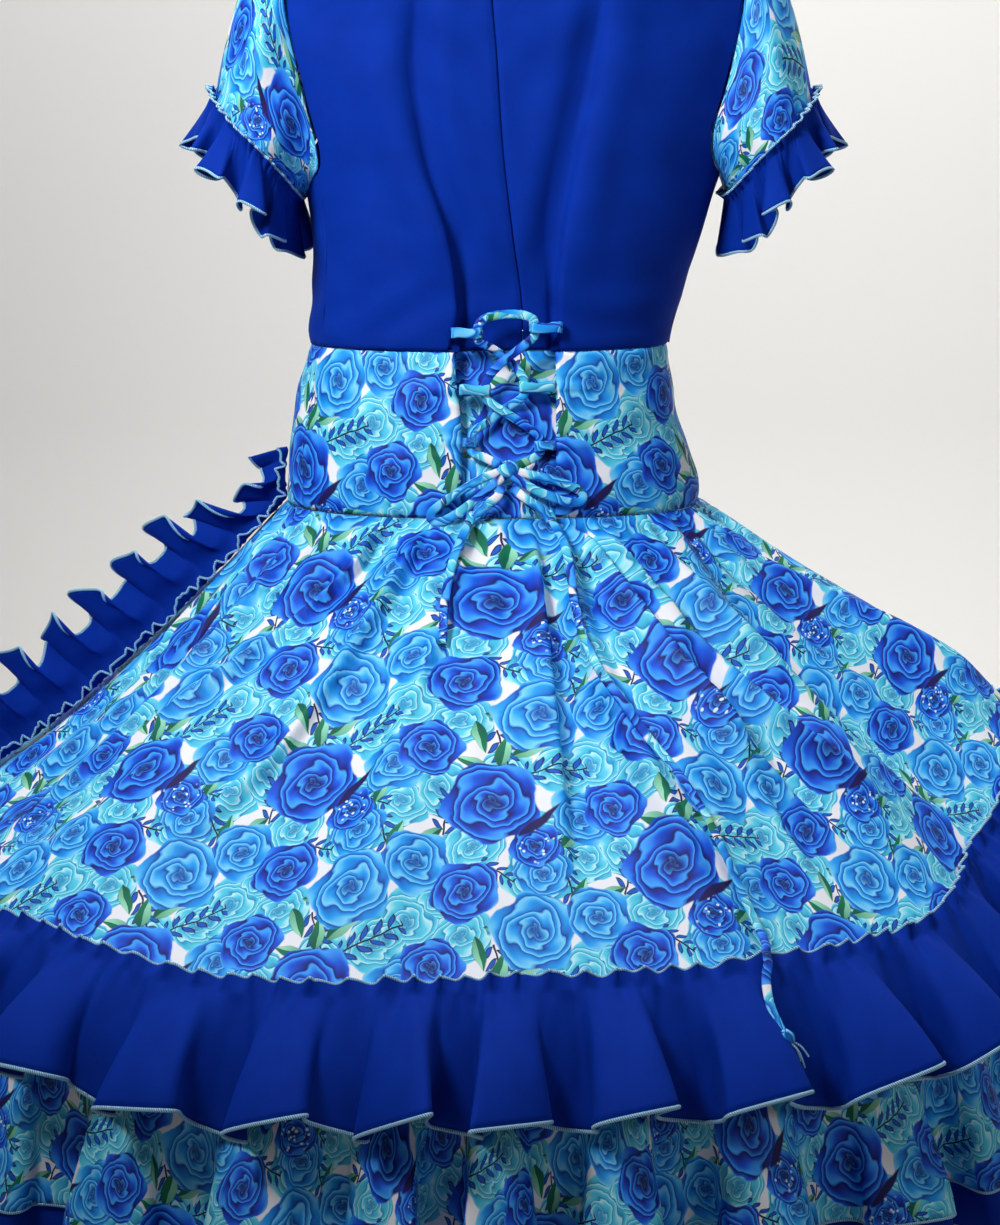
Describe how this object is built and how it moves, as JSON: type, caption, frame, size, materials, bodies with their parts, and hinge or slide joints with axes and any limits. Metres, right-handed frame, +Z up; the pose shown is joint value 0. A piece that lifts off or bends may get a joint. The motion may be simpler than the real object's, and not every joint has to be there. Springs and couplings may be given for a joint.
{
  "type": "cueca dress",
  "caption": "Cueca dress filled out with no wearer: fitted plain bodice, short ruffled sleeves, laced print hip yoke, full print skirt with gathered ruffles.",
  "frame": {"origin": "middle of the shoulder line, where the wearer's shoulders hold the dress up", "axes": "+Z up; the laced back of the dress faces -Y, its front +Y, and the wearer's left side is at -X"},
  "size_m": [1.1426, 1.0724, 1.0538],
  "materials": {
    "blue_crepe": "matte royal blue polyester crepe",
    "rose_print": "smooth off-white polyester printed with blue roses and green leaves",
    "edge_thread": "light blue overlock stitching"
  },
  "bodies": {
    "root": {"back_bodice_left": "blue_crepe", "back_bodice_right": "blue_crepe", "front_bodice": "blue_crepe", "ruffle_back_left": "blue_crepe", "ruffle_back_right": "blue_crepe", "ruffle_front_right": "blue_crepe", "ruffle_front_left": "blue_crepe", "hem_flounce_back_left": "blue_crepe", "hem_flounce_back_right": "blue_crepe", "hem_flounce_front_right": "blue_crepe", "hem_flounce_front_left": "blue_crepe", "sleeve_ruffle_left": "blue_crepe", "sleeve_ruffle_right": "blue_crepe", "side_ruffle": "blue_crepe", "yoke_back_left": "rose_print", "yoke_back_right": "rose_print", "yoke_front": "rose_print", "yoke_centre": "rose_print", "skirt_back_left": "rose_print", "skirt_back_right": "rose_print", "skirt_front_right": "rose_print", "skirt_front_left": "rose_print", "flounce_back_left": "rose_print", "flounce_back_right": "rose_print", "flounce_front_right": "rose_print", "flounce_front_left": "rose_print", "sleeve_left": "rose_print", "sleeve_right": "rose_print", "tab_left_1": "rose_print", "tab_right_1": "rose_print", "tab_left_2": "rose_print", "tab_right_2": "rose_print", "tab_left_3": "rose_print", "tab_right_3": "rose_print", "lace": "rose_print", "bow_loop_left": "rose_print", "bow_loop_right": "rose_print", "tail_short": "rose_print", "tail_long": "rose_print", "bow_knot": "rose_print", "tail_knot": "rose_print"}
  },
  "joints": []
}
